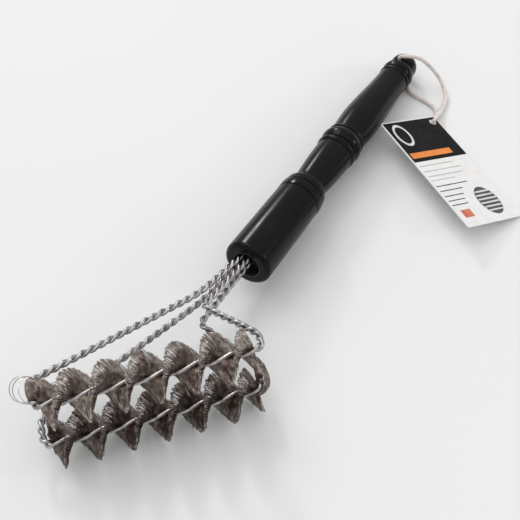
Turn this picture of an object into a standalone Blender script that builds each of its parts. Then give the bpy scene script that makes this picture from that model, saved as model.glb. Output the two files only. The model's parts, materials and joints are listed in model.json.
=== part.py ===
"""Grill cleaning brush lying on its side, in metres, +Z up, resting on z = 0.

A turned wooden handle holds two loops of twisted stem wire.  Each loop runs forward from the
bore, turns at the tip, carries a row of flattened coil fill and bends back into the bore.
A hang cord passes through a cross hole in the handle's end ball and carries a card tag.

The brush is drawn in its own frame, with the handle along +Y and the two loops mirrored about
z = 0, and an empty then lays it on the table.
"""
import math

import bmesh
import bpy
from mathutils import Matrix, Vector

# ---- handle: radii, and stations measured back from the front face -------------------------
HANDLE_LENGTH = 0.2692
FRONT_FILLET = 0.0035
BARREL_FRONT_RADIUS = 0.0175
BARREL_REAR_RADIUS = 0.0168
BARREL_LENGTH = 0.0708
GROOVE_WIDTH = 0.0014
GROOVE_DEPTH = 0.0009
COLLAR_RADIUS = 0.0170
COLLAR_LENGTH = 0.0066
SECOND_COLLAR_RADIUS = 0.0161
SECOND_COLLAR_LENGTH = 0.0050
WAIST_RADIUS = 0.0125
WAIST_COVE_LENGTH = 0.0062
WAIST_LENGTH = 0.0370
WAIST_REAR_RADIUS = 0.0146
MIDDLE_COLLAR_RADIUS = 0.0156
MIDDLE_COLLAR_LENGTH = 0.0048
MIDDLE_BEAD_RADIUS = 0.0161
MIDDLE_BEAD_LENGTH = 0.0105
MIDDLE_RING_RADIUS = 0.0149
MIDDLE_RING_LENGTH = 0.0024
GRIP_FRONT_RADIUS = 0.0136
GRIP_SWELL_RADIUS = 0.0150
GRIP_SWELL_LENGTH = 0.0230
GRIP_REAR_RADIUS = 0.0123
REAR_COLLAR_RADIUS = 0.0129
REAR_COLLAR_LENGTH = 0.0034
REAR_RING_RADIUS = 0.0130
REAR_RING_LENGTH = 0.0072
NECK_RADIUS = 0.0108
BALL_RADIUS = 0.0111
BORE_RADIUS = 0.0110
BORE_DEPTH = 0.0500
HANDLE_SIDES = 28

# ---- cross hole for the hang cord -----------------------------------------------------------
HOLE_RADIUS = 0.00275
HOLE_SINK_RADIUS = 0.0047
HOLE_FROM_END = 0.0147
HOLE_LEAN = math.radians(16.0)
HOLE_SIDES = 16

# ---- sleeve and filler in the bore ----------------------------------------------------------
SLEEVE_WALL = 0.0008
SLEEVE_LENGTH = 0.0080
FILLER_REAR_DEPTH = 0.0430
STRAND_HOLE_STEPS = 5

# ---- twisted stem wires ---------------------------------------------------------------------
WIRE_RADIUS = 0.0012
WIRE_GAP = 0.0003
WIRE_SIDES = 5
STRAND_PITCH = 0.0132
STEPS_PER_STRAND_TURN = 7
STRAND_SPACING = 0.0054
BUNDLE_OFFSET = 0.0037
STRAND_BORE_DEPTH = 0.0410

# ---- route of each loop: (x, y, height) before the row, (along, across, height) beside it ---
SPREAD_START_Y = -0.0010
FORWARD_KNEE = (-0.0117, -0.0399, 0.0045)
ROW_FRONT = (-0.0411, -0.1717)
ROW_ANGLE = math.radians(43.2)
ROW_SPACING = 0.0393
NOSE_ALONG = -0.0003
NOSE_HEAD = (0.0197, 0.0182)
TAIL_UPPER = (0.1387, 0.0130, 0.0178)
TAIL_LOWER = (0.1400, 0.0170, 0.0178)
JUNCTION_UPPER = (-0.0025, -0.0505, 0.0065)
JUNCTION_LOWER = (-0.0035, -0.0550, 0.0070)
SPREAD_RADIUS = 0.030
KNEE_RADIUS = 0.120
NOSE_HEAD_RADIUS = 0.0110
NOSE_FOOT_RADIUS = 0.0045
TAIL_FOOT_RADIUS = 0.0060
TAIL_HEAD_RADIUS = 0.0150
JUNCTION_RADIUS = 0.0048

# ---- fill of the two rows -------------------------------------------------------------------
ROW_PITCH = 0.0424
STEPS_PER_ROW_TURN = 16
FILL_RADIUS = 0.01745
FILL_WEB = 0.0006
FILL_HALF_THICKNESS = 0.0034
FILL_SHOULDER = 0.55
FILL_RIM = 0.88
FILL_RIM_THICKNESS = 0.75
FILL_EDGE_THICKNESS = 0.20
FILL_FRONT_RADIUS = 0.0080
FILL_REAR_RADIUS = 0.0160
FILL_END_TAPER = 0.0060
FILL_RAKE = 0.0027
FILL_TILT = 0.0052
UPPER_PHASE = math.radians(160.0)
LOWER_PHASE = math.radians(163.0)
LOOSE_PLACE = (-0.0040, 0.0145, 0.0197)
LOOSE_LEAN = math.radians(43.0)
LOOSE_RING_RADIUS = 0.0084
LOOSE_RING_TURNS = 3
LOOSE_RING_PITCH = 0.0022
LOOSE_RING_STEPS = 14
LOOSE_WIRE_RADIUS = 0.0004
LOOSE_WIRE_SIDES = 5

# ---- hang cord and tag ----------------------------------------------------------------------
CORD_DIAMETER = 0.0032
CORD_POINTS = 64
CURVE_STEPS = 24
TAG_WIDTH = 0.0540
TAG_LENGTH = 0.1170
TAG_THICKNESS = 0.0006
TAG_HOLE_RADIUS = 0.0031
TAG_HOLE_FROM_SIDE = 0.0050
TAG_HOLE_FROM_TOP = 0.0066
TAG_CORNER_RADIUS = 0.0020
TAG_PLACE = (0.0458, -0.0386, 0.0056)
TAG_TURN = math.radians(-32.2)
TAG_LEAN = math.radians(16.3)
TAG_DROP = math.radians(2.0)

CLEARANCE = 0.0003
LEVELLING_ROUNDS = 12

# Route of the cord: out of the cross hole's upper mouth and over the ball, round the table to
# the tag and through its hole, and back into the lower mouth.  Offsets are from the middle of
# the cross hole; those of the table stretch have the height above the table as third value.
CORD_OVER_BALL = (
    (-0.0012, 0.0002, 0.0041),
    (-0.0029, 0.0004, 0.0091),
    (-0.0024, 0.0006, 0.0118),
    (0.0004, 0.0010, 0.0134),
    (0.0042, 0.0024, 0.0137),
    (0.0080, 0.0044, 0.0134),
    (0.0112, 0.0062, 0.0122),
    (0.0143, 0.0081, 0.0101),
)
CORD_ON_TABLE = (
    (0.0218, 0.0104, 0.0160),
    (0.0302, 0.0096, 0.0095),
    (0.0379, 0.0035, 0.0050),
    (0.0424, -0.0033, 0.0030),
    (0.0448, -0.0129, 0.0024),
    (0.0458, -0.0219, 0.0034),
    (0.0465, -0.0290, 0.0061),
    (0.0467, -0.0335, 0.0076),
    (0.0466, -0.0372, 0.0078),
    (0.0460, -0.0393, 0.0058),
    (0.0454, -0.0380, 0.0035),
    (0.0449, -0.0345, 0.0021),
    (0.0446, -0.0295, 0.0018),
    (0.0427, -0.0223, 0.0018),
    (0.0368, -0.0167, 0.0018),
    (0.0291, -0.0141, 0.0018),
    (0.0202, -0.0122, 0.0018),
    (0.0140, -0.0097, 0.0018),
    (0.0106, -0.0063, 0.0018),
    (0.0086, -0.0026, 0.0018),
    (0.0060, -0.0006, 0.0021),
)
CORD_INTO_HOLE = (
    (0.0039, -0.0003, -0.0084),
    (0.0022, -0.0002, -0.0052),
    (0.0006, 0.0000, -0.0014),
)

UP = Vector((0.0, 0.0, 1.0))
ROW_ALONG = Vector((math.sin(ROW_ANGLE), math.cos(ROW_ANGLE), 0.0))
ROW_ACROSS = Vector((-math.cos(ROW_ANGLE), math.sin(ROW_ANGLE), 0.0))


# ---- small helpers --------------------------------------------------------------------------
def clear_scene():
    for obj in list(bpy.data.objects):
        bpy.data.objects.remove(obj, do_unlink=True)


def material(name, colour, roughness, metallic=0.0):
    mat = bpy.data.materials.new(name)
    mat.use_nodes = True
    shader = mat.node_tree.nodes["Principled BSDF"]
    shader.inputs["Base Color"].default_value = (*colour, 1.0)
    shader.inputs["Roughness"].default_value = roughness
    shader.inputs["Metallic"].default_value = metallic
    return mat


def mesh_object(name, bm, mat, smooth_angle=None):
    bmesh.ops.recalc_face_normals(bm, faces=bm.faces)
    mesh = bpy.data.meshes.new(name)
    bm.to_mesh(mesh)
    bm.free()
    mesh.materials.append(mat)
    if smooth_angle is not None:
        mesh.shade_smooth()
        mesh.set_sharp_from_angle(angle=smooth_angle)
    obj = bpy.data.objects.new(name, mesh)
    bpy.context.scene.collection.objects.link(obj)
    return obj


def loft(name, rings, mat, smooth_angle=math.radians(50.0)):
    """A closed solid through rings of equal length, with flat ends."""
    bm = bmesh.new()
    loops = [[bm.verts.new(point) for point in ring] for ring in rings]
    count = len(rings[0])
    for near, far in zip(loops, loops[1:]):
        for i in range(count):
            j = (i + 1) % count
            bm.faces.new((near[i], near[j], far[j], far[i]))
    bm.faces.new(loops[0])
    bm.faces.new(loops[-1])
    bmesh.ops.triangulate(bm, faces=bm.faces)
    return mesh_object(name, bm, mat, smooth_angle)


def lathe(name, profile, sides, mat):
    """Turn an outline of (radius, y) about the Y axis; both of its ends lie on the axis."""
    bm = bmesh.new()
    first = bm.verts.new((0.0, profile[0][1], 0.0))
    last = bm.verts.new((0.0, profile[-1][1], 0.0))
    loops = []
    for radius, y in profile[1:-1]:
        ring = []
        for i in range(sides):
            angle = math.tau * i / sides
            ring.append(bm.verts.new((radius * math.cos(angle), y, radius * math.sin(angle))))
        loops.append(ring)
    for i in range(sides):
        j = (i + 1) % sides
        bm.faces.new((first, loops[0][i], loops[0][j]))
        bm.faces.new((last, loops[-1][j], loops[-1][i]))
        for near, far in zip(loops, loops[1:]):
            bm.faces.new((near[i], near[j], far[j], far[i]))
    bmesh.ops.triangulate(bm, faces=bm.faces)
    return mesh_object(name, bm, mat, math.radians(35.0))


def cutter(name, bm):
    bmesh.ops.recalc_face_normals(bm, faces=bm.faces)
    mesh = bpy.data.meshes.new(name)
    bm.to_mesh(mesh)
    bm.free()
    obj = bpy.data.objects.new(name, mesh)
    obj.hide_render = True
    obj.display_type = "WIRE"
    bpy.context.scene.collection.objects.link(obj)
    return obj


def cut(target, tool):
    mod = target.modifiers.new(tool.name, "BOOLEAN")
    mod.operation = "DIFFERENCE"
    mod.solver = "EXACT"
    mod.object = tool


def arc_bump(start, stop, edge_radius, crest_radius, steps):
    """Outline points of a turned bead, a half sine between two stations."""
    points = []
    for i in range(steps + 1):
        t = i / steps
        rise = math.sin(math.pi * t)
        points.append((edge_radius + (crest_radius - edge_radius) * rise, start + (stop - start) * t))
    return points


def ease(t):
    t = min(max(t, 0.0), 1.0)
    return t * t * (3.0 - 2.0 * t)


# ---- handle ---------------------------------------------------------------------------------
def groove(station, radius):
    """A small V groove that starts at a station."""
    return [(radius, station), (radius - GROOVE_DEPTH, station + GROOVE_WIDTH / 2),
            (radius, station + GROOVE_WIDTH)]


def handle_profile():
    profile = [(0.0, BORE_DEPTH), (BORE_RADIUS, BORE_DEPTH), (BORE_RADIUS, 0.0)]
    for i in range(4):
        angle = math.pi / 2 * i / 3
        radius = BARREL_FRONT_RADIUS - FRONT_FILLET * (1.0 - math.sin(angle))
        profile.append((radius, FRONT_FILLET * (1.0 - math.cos(angle))))
    y = BARREL_LENGTH
    profile += groove(y, BARREL_REAR_RADIUS)
    y += GROOVE_WIDTH
    profile += arc_bump(y, y + COLLAR_LENGTH, BARREL_REAR_RADIUS, COLLAR_RADIUS, 4)[1:]
    y += COLLAR_LENGTH
    profile += groove(y, SECOND_COLLAR_RADIUS)
    y += GROOVE_WIDTH + SECOND_COLLAR_LENGTH
    profile.append((SECOND_COLLAR_RADIUS, y - SECOND_COLLAR_LENGTH / 2))
    drop = SECOND_COLLAR_RADIUS - WAIST_RADIUS
    for i in range(1, 5):
        angle = math.pi / 2 * i / 4
        profile.append((SECOND_COLLAR_RADIUS - drop * math.sin(angle),
                        y + WAIST_COVE_LENGTH * (1.0 - math.cos(angle))))
    y += WAIST_COVE_LENGTH
    for i in range(1, 6):
        t = i / 5
        radius = WAIST_RADIUS + (WAIST_REAR_RADIUS - WAIST_RADIUS) * math.sin(math.pi / 2 * t)
        profile.append((radius, y + WAIST_LENGTH * t))
    y += WAIST_LENGTH
    profile += groove(y + GROOVE_WIDTH, WAIST_REAR_RADIUS)
    y += 2 * GROOVE_WIDTH
    for crest, length, steps in ((MIDDLE_COLLAR_RADIUS, MIDDLE_COLLAR_LENGTH, 4),
                                 (MIDDLE_BEAD_RADIUS, MIDDLE_BEAD_LENGTH, 6)):
        profile += arc_bump(y, y + length, WAIST_REAR_RADIUS, crest, steps)[1:]
        profile += groove(y + length, WAIST_REAR_RADIUS)[1:]
        y += length + GROOVE_WIDTH
    profile += arc_bump(y, y + MIDDLE_RING_LENGTH, WAIST_REAR_RADIUS, MIDDLE_RING_RADIUS, 2)[1:]
    y += MIDDLE_RING_LENGTH
    profile.append((GRIP_FRONT_RADIUS, y + GROOVE_WIDTH))
    y += GROOVE_WIDTH
    for i in range(1, 4):
        t = i / 3
        radius = GRIP_FRONT_RADIUS + (GRIP_SWELL_RADIUS - GRIP_FRONT_RADIUS) * math.sin(math.pi / 2 * t)
        profile.append((radius, y + GRIP_SWELL_LENGTH * t))
    y += GRIP_SWELL_LENGTH
    ring_rear = HANDLE_LENGTH - HOLE_FROM_END - HOLE_SINK_RADIUS
    ring_front = ring_rear - REAR_RING_LENGTH
    collar_front = ring_front - GROOVE_WIDTH - REAR_COLLAR_LENGTH
    grip_rear = collar_front - GROOVE_WIDTH
    for i in range(1, 6):
        t = i / 5
        radius = GRIP_SWELL_RADIUS + (GRIP_REAR_RADIUS - GRIP_SWELL_RADIUS) * ease(t)
        profile.append((radius, y + (grip_rear - y) * t))
    for start, length, crest in ((collar_front, REAR_COLLAR_LENGTH, REAR_COLLAR_RADIUS),
                                 (ring_front, REAR_RING_LENGTH, REAR_RING_RADIUS)):
        profile += groove(start - GROOVE_WIDTH, GRIP_REAR_RADIUS)[1:]
        profile += arc_bump(start, start + length, GRIP_REAR_RADIUS, crest, 4)[1:]
    profile.append((NECK_RADIUS, ring_rear + GROOVE_WIDTH))
    centre = HANDLE_LENGTH - BALL_RADIUS
    for i in range(6):
        angle = math.pi / 2 * i / 6
        profile.append((BALL_RADIUS * math.cos(angle), centre + BALL_RADIUS * math.sin(angle)))
    profile.append((0.0, HANDLE_LENGTH))
    return profile


def hole_frame():
    """Cross hole: its centre on the handle's axis and its direction, leaning in the XZ plane."""
    turn = Matrix.Rotation(-HOLE_LEAN, 4, "Y")
    return Matrix.Translation((0.0, HANDLE_LENGTH - HOLE_FROM_END, 0.0)) @ turn


def make_handle(mat):
    handle = lathe("handle", handle_profile(), HANDLE_SIDES, mat)
    reach = 2 * BALL_RADIUS
    mouth = BALL_RADIUS - (HOLE_SINK_RADIUS - HOLE_RADIUS)
    outline = ((HOLE_RADIUS, mouth), (HOLE_SINK_RADIUS + reach - BALL_RADIUS, reach))
    bm = bmesh.new()
    rings = []
    for sign in (-1, 1):
        ordered = outline if sign > 0 else outline[::-1]
        for radius, height in ordered:
            ring = []
            for i in range(HOLE_SIDES):
                angle = math.tau * i / HOLE_SIDES
                ring.append(bm.verts.new((radius * math.cos(angle), radius * math.sin(angle),
                                          sign * height)))
            rings.append(ring)
    for near, far in zip(rings, rings[1:]):
        for i in range(HOLE_SIDES):
            j = (i + 1) % HOLE_SIDES
            bm.faces.new((near[i], near[j], far[j], far[i]))
    bm.faces.new(rings[0])
    bm.faces.new(rings[-1])
    tool = cutter("hole_cutter", bm)
    tool.matrix_world = hole_frame()
    cut(handle, tool)
    return handle, tool


# ---- stem wire loops ------------------------------------------------------------------------
def fillet(points, radii, step=0.0005):
    """A dense line through corner points, each rounded by its own radius."""
    line = [points[0]]
    for before, corner, after, radius in zip(points, points[1:], points[2:], radii):
        into = (corner - before).normalized()
        out = (after - corner).normalized()
        turn = into.angle(out)
        tangent = radius * math.tan(turn / 2)
        start = corner - into * tangent
        inward = (out - into).normalized()
        centre = corner + inward * (radius / math.cos(turn / 2))
        steps = max(3, int(radius * turn / step))
        axis = into.cross(out).normalized()
        spoke = start - centre
        for i in range(steps + 1):
            line.append(centre + Matrix.Rotation(turn * i / steps, 3, axis) @ spoke)
    line.append(points[-1])
    dense = [line[0]]
    for a, b in zip(line, line[1:]):
        pieces = max(1, int((b - a).length / step))
        dense += [a.lerp(b, (i + 1) / pieces) for i in range(pieces)]
    return dense


class Loop:
    """Centre line of one stem loop, with the arc lengths where its row starts and stops."""

    def __init__(self, side, junction, tail):
        forward_x = -BUNDLE_OFFSET - STRAND_SPACING / 2
        return_x = -BUNDLE_OFFSET + STRAND_SPACING / 2
        low = STRAND_SPACING / 2
        high = ROW_SPACING / 2
        front = Vector((*ROW_FRONT, 0.0))

        def beside(along, across, height):
            return front + ROW_ALONG * along + ROW_ACROSS * across + UP * height

        corners = [Vector((forward_x, STRAND_BORE_DEPTH, low)),
                   Vector((forward_x, SPREAD_START_Y, low)), Vector(FORWARD_KNEE),
                   beside(NOSE_ALONG, *NOSE_HEAD), beside(NOSE_ALONG, 0.0, high),
                   beside(tail[0], 0.0, high), beside(*tail), Vector(junction),
                   Vector((return_x, SPREAD_START_Y, low)),
                   Vector((return_x, STRAND_BORE_DEPTH, low))]
        radii = (SPREAD_RADIUS, KNEE_RADIUS, NOSE_HEAD_RADIUS, NOSE_FOOT_RADIUS,
                 TAIL_FOOT_RADIUS, TAIL_HEAD_RADIUS, JUNCTION_RADIUS, SPREAD_RADIUS)
        line = fillet(corners, radii)
        self.points = [Vector((p.x, p.y, side * p.z)) for p in line]
        self.length = [0.0]
        for a, b in zip(line, line[1:]):
            self.length.append(self.length[-1] + (b - a).length)
        self.total = self.length[-1]
        row = [s for s, p in zip(self.length, line) if (p - front).dot(ROW_ACROSS) < 1e-6]
        self.row_start = row[0]
        self.row_stop = row[-1]

    def at(self, s):
        """Point and cross-section frame at arc length s."""
        s = min(max(s, 0.0), self.total)
        low, high = 0, len(self.length) - 1
        while high - low > 1:
            mid = (low + high) // 2
            if self.length[mid] <= s:
                low = mid
            else:
                high = mid
        span = self.length[high] - self.length[low]
        point = self.points[low].lerp(self.points[high], (s - self.length[low]) / span)
        before = max(low - 1, 0)
        after = min(high + 1, len(self.points) - 1)
        tangent = (self.points[after] - self.points[before]).normalized()
        side = UP.cross(tangent).normalized()
        return point, tangent, side, tangent.cross(side)

    def twist(self, s, phase):
        """Left-hand twist angle: slow along the row, quick along the bare strands."""
        row = min(max(s, self.row_start), self.row_stop) - self.row_start
        bare = min(s - self.row_start, 0.0) + max(s - self.row_stop, 0.0)
        return phase - math.tau * (row / ROW_PITCH + bare / STRAND_PITCH)

    def stations(self):
        stops = []
        for start, stop, step in ((0.0, self.row_start, STRAND_PITCH / STEPS_PER_STRAND_TURN),
                                  (self.row_start, self.row_stop, ROW_PITCH / STEPS_PER_ROW_TURN),
                                  (self.row_stop, self.total, STRAND_PITCH / STEPS_PER_STRAND_TURN)):
            count = round((stop - start) / step)
            stops += [start + (stop - start) * i / count for i in range(count)]
        return stops + [self.total]


def wire_offset(loop, s):
    """Distance of each wire's centre from the strand's: opened by the fill along the row."""
    closed = WIRE_RADIUS + WIRE_GAP / 2
    opened = WIRE_RADIUS + FILL_WEB / 2 + CLEARANCE
    blend = min(ease((s - loop.row_start + FILL_END_TAPER) / FILL_END_TAPER),
                ease((loop.row_stop + FILL_END_TAPER - s) / FILL_END_TAPER))
    return closed + (opened - closed) * blend


def make_wire(name, loop, phase, mat):
    """One stem wire, wound left-handed about the loop's centre line."""
    rings = []
    for s in loop.stations():
        point, _, side, rise = loop.at(s)
        angle = loop.twist(s, phase)
        out = side * math.cos(angle) + rise * math.sin(angle)
        along = rise * math.cos(angle) - side * math.sin(angle)
        centre = point + out * wire_offset(loop, s)
        rings.append([centre + out * (WIRE_RADIUS * math.cos(math.tau * i / WIRE_SIDES))
                      + along * (WIRE_RADIUS * math.sin(math.tau * i / WIRE_SIDES))
                      for i in range(WIRE_SIDES)])
    return loft(name, rings, mat)


def fill_radius(loop, s):
    """Outer radius of the fill, which starts small at the loop's tip and stays wide behind."""
    front = FILL_FRONT_RADIUS + (FILL_RADIUS - FILL_FRONT_RADIUS) * ease((s - loop.row_start) / FILL_END_TAPER)
    rear = FILL_REAR_RADIUS + (FILL_RADIUS - FILL_REAR_RADIUS) * ease((loop.row_stop - s) / FILL_END_TAPER)
    return min(front, rear)


def make_fill(name, loop, phase, mat):
    """Twisted band of flattened coil, thin between the stem wires and thick outside them.

    Its outer edges rake towards the loop's tip, the top of each lobe more than the bottom.
    """
    count = round((loop.row_stop - loop.row_start) / (ROW_PITCH / STEPS_PER_ROW_TURN))
    rings = []
    for k in range(count + 1):
        s = loop.row_start + (loop.row_stop - loop.row_start) * k / count
        point, tangent, side, rise = loop.at(s)
        angle = loop.twist(s, phase) + math.pi / 2
        out = side * math.cos(angle) + rise * math.sin(angle)
        flat = rise * math.cos(angle) - side * math.sin(angle)
        radius = fill_radius(loop, s)
        half = [(2 * WIRE_RADIUS, FILL_WEB / 2), (radius * FILL_SHOULDER, FILL_HALF_THICKNESS),
                (radius * FILL_RIM, FILL_HALF_THICKNESS * FILL_RIM_THICKNESS),
                (radius, FILL_HALF_THICKNESS * FILL_EDGE_THICKNESS)]
        outline = half + [(u, -v) for u, v in half[::-1]]
        outline += [(-u, -v) for u, v in half] + [(-u, v) for u, v in half[::-1]]
        ring = []
        for u, v in outline:
            spoke = out * u + flat * v
            rake = (FILL_RAKE + FILL_TILT * spoke.normalized().z) * (u / FILL_RADIUS) ** 2
            ring.append(point + spoke - tangent * rake)
        rings.append(ring)
    return loft(name, rings, mat)


def make_loose_rings(mat):
    """Sprung end of the upper fill: a few loose turns hooked round the tip bend."""
    front = Vector((*ROW_FRONT, 0.0))
    centre = front + ROW_ALONG * LOOSE_PLACE[0] + ROW_ACROSS * LOOSE_PLACE[1] + UP * LOOSE_PLACE[2]
    axis = (UP * math.cos(LOOSE_LEAN) - ROW_ACROSS * math.sin(LOOSE_LEAN)).normalized()
    up = axis.cross(ROW_ALONG).normalized()
    rings = []
    for k in range(LOOSE_RING_STEPS * LOOSE_RING_TURNS + 1):
        turn = k / LOOSE_RING_STEPS
        angle = math.tau * turn + math.pi
        spoke = ROW_ALONG * math.cos(angle) + up * math.sin(angle)
        shift = axis * (LOOSE_RING_PITCH * (turn - LOOSE_RING_TURNS / 2))
        middle = centre + spoke * LOOSE_RING_RADIUS + shift
        rings.append([middle + (spoke * math.cos(math.tau * i / LOOSE_WIRE_SIDES)
                                + axis * math.sin(math.tau * i / LOOSE_WIRE_SIDES)) * LOOSE_WIRE_RADIUS
                      for i in range(LOOSE_WIRE_SIDES)])
    return loft("upper_fill_loose_end", rings, mat)


def make_sleeve(mat):
    """Thin black ring that lines the mouth of the bore."""
    outer = BORE_RADIUS - CLEARANCE
    inner = outer - SLEEVE_WALL
    section = ((outer, 0.0), (outer, SLEEVE_LENGTH), (inner, SLEEVE_LENGTH), (inner, 0.0))
    bm = bmesh.new()
    loops = []
    for i in range(HANDLE_SIDES):
        angle = math.tau * i / HANDLE_SIDES
        loops.append([bm.verts.new((radius * math.cos(angle), y, radius * math.sin(angle)))
                      for radius, y in section])
    for near, far in zip(loops, loops[1:] + loops[:1]):
        for i in range(len(section)):
            j = (i + 1) % len(section)
            bm.faces.new((near[i], near[j], far[j], far[i]))
    bmesh.ops.triangulate(bm, faces=bm.faces)
    return mesh_object("bore_sleeve", bm, mat, math.radians(35.0))


def make_filler(mat):
    """Black plug behind the sleeve, with one rounded square hole for the four strands."""
    front = SLEEVE_LENGTH + CLEARANCE
    radius = BORE_RADIUS - CLEARANCE
    profile = [(0.0, FILLER_REAR_DEPTH), (radius, FILLER_REAR_DEPTH), (radius, front), (0.0, front)]
    filler = lathe("bore_filler", profile, HANDLE_SIDES, mat)
    half = STRAND_SPACING / 2
    reach = WIRE_GAP / 2 + 2 * WIRE_RADIUS + CLEARANCE
    bm = bmesh.new()
    rings = [[], []]
    for corner, (x, z) in enumerate(((half, half), (-half, half), (-half, -half), (half, -half))):
        for i in range(STRAND_HOLE_STEPS + 1):
            angle = math.pi / 2 * (corner + i / STRAND_HOLE_STEPS)
            place = (x - BUNDLE_OFFSET + reach * math.cos(angle), z + reach * math.sin(angle))
            for ring, y in zip(rings, (0.0, BORE_DEPTH)):
                ring.append(bm.verts.new((place[0], y, place[1])))
    count = len(rings[0])
    for i in range(count):
        j = (i + 1) % count
        bm.faces.new((rings[0][i], rings[0][j], rings[1][j], rings[1][i]))
    bm.faces.new(rings[0])
    bm.faces.new(rings[1])
    tool = cutter("strand_cutter", bm)
    cut(filler, tool)
    return filler, tool


# ---- hang cord and tag ----------------------------------------------------------------------
def smooth_route(points, count):
    """Evenly spaced points on a Catmull-Rom curve through the route's points."""
    knots = [2 * points[0] - points[1], *points, 2 * points[-1] - points[-2]]
    dense = []
    for a, b, c, d in zip(knots, knots[1:], knots[2:], knots[3:]):
        for i in range(CURVE_STEPS):
            t = i / CURVE_STEPS
            dense.append(0.5 * (2 * b + (c - a) * t + (2 * a - 5 * b + 4 * c - d) * t * t
                                + (3 * b - a - 3 * c + d) * t ** 3))
    dense.append(points[-1])
    length = [0.0]
    for a, b in zip(dense, dense[1:]):
        length.append(length[-1] + (b - a).length)
    even = []
    index = 0
    for i in range(count):
        target = length[-1] * i / (count - 1)
        while index < len(length) - 2 and length[index + 1] < target:
            index += 1
        span = length[index + 1] - length[index]
        even.append(dense[index].lerp(dense[index + 1], (target - length[index]) / span))
    return even


def make_cord(mat, hole_height):
    data = bpy.data.curves.new("hang_cord", "CURVE")
    data.dimensions = "3D"
    data.bevel_depth = CORD_DIAMETER / 2
    data.bevel_resolution = 2
    data.use_fill_caps = True
    stops = [Vector(p) for p in CORD_OVER_BALL]
    stops += [Vector(p) - UP * hole_height for p in CORD_ON_TABLE]
    stops += [Vector(p) for p in CORD_INTO_HOLE]
    route = smooth_route(stops, CORD_POINTS)
    spline = data.splines.new("POLY")
    spline.points.add(len(route) - 1)
    for knot, place in zip(spline.points, route):
        knot.co = (*place, 1.0)
    data.materials.append(mat)
    cord = bpy.data.objects.new("hang_cord", data)
    bpy.context.scene.collection.objects.link(cord)
    return cord


def make_tag(mat):
    """Card with round corners; its origin is the centre of its hole, its length along +X."""
    bm = bmesh.new()
    left, right = -TAG_HOLE_FROM_TOP, TAG_LENGTH - TAG_HOLE_FROM_TOP
    high, low = TAG_HOLE_FROM_SIDE, TAG_HOLE_FROM_SIDE - TAG_WIDTH
    outline = []
    for x, y, start in ((right, high, 0), (left, high, 1), (left, low, 2), (right, low, 3)):
        centre_x = x - math.copysign(TAG_CORNER_RADIUS, x - (left + right) / 2)
        centre_y = y - math.copysign(TAG_CORNER_RADIUS, y - (low + high) / 2)
        for i in range(4):
            angle = math.pi / 2 * (start + i / 3)
            outline.append((centre_x + TAG_CORNER_RADIUS * math.cos(angle),
                            centre_y + TAG_CORNER_RADIUS * math.sin(angle)))
    bottom = [bm.verts.new((x, y, -TAG_THICKNESS / 2)) for x, y in outline]
    base = bm.faces.new(bottom)
    top = bmesh.ops.extrude_face_region(bm, geom=[base])
    moved = [v for v in top["geom"] if isinstance(v, bmesh.types.BMVert)]
    bmesh.ops.translate(bm, verts=moved, vec=(0.0, 0.0, TAG_THICKNESS))
    tag = mesh_object("hang_tag", bm, mat)
    hole = bmesh.new()
    bmesh.ops.create_cone(hole, cap_ends=True, segments=16, radius1=TAG_HOLE_RADIUS,
                          radius2=TAG_HOLE_RADIUS, depth=10 * TAG_THICKNESS)
    tool = cutter("tag_hole_cutter", hole)
    cut(tag, tool)
    return tag, tool


# ---- placing --------------------------------------------------------------------------------
def outline_points(obj):
    bpy.context.view_layer.update()
    shape = obj.evaluated_get(bpy.context.evaluated_depsgraph_get())
    return [vertex.co.copy() for vertex in shape.data.vertices]


def resting_matrix(handle, fill):
    """Tilt the brush about its rows until the handle and the lower row both touch the table."""
    handle_points = outline_points(handle)
    fill_points = outline_points(fill)
    reach = (Vector((0.0, HANDLE_LENGTH, 0.0)) - Vector((*ROW_FRONT, 0.0))).dot(ROW_ACROSS)
    tilt = 0.0
    for _ in range(LEVELLING_ROUNDS):
        turn = Matrix.Rotation(-tilt, 4, ROW_ALONG)
        handle_low = min((turn @ point).z for point in handle_points)
        fill_low = min((turn @ point).z for point in fill_points)
        tilt += (handle_low - fill_low) / reach
    return Matrix.Translation((0.0, 0.0, -min(handle_low, fill_low))) @ turn


def world_box(objects):
    bpy.context.view_layer.update()
    graph = bpy.context.evaluated_depsgraph_get()
    low = Vector((math.inf, math.inf, math.inf))
    high = -low
    for obj in objects:
        shape = obj.evaluated_get(graph)
        for vertex in shape.data.vertices:
            place = obj.matrix_world @ vertex.co
            low = Vector(map(min, low, place))
            high = Vector(map(max, high, place))
    return low, high


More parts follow.
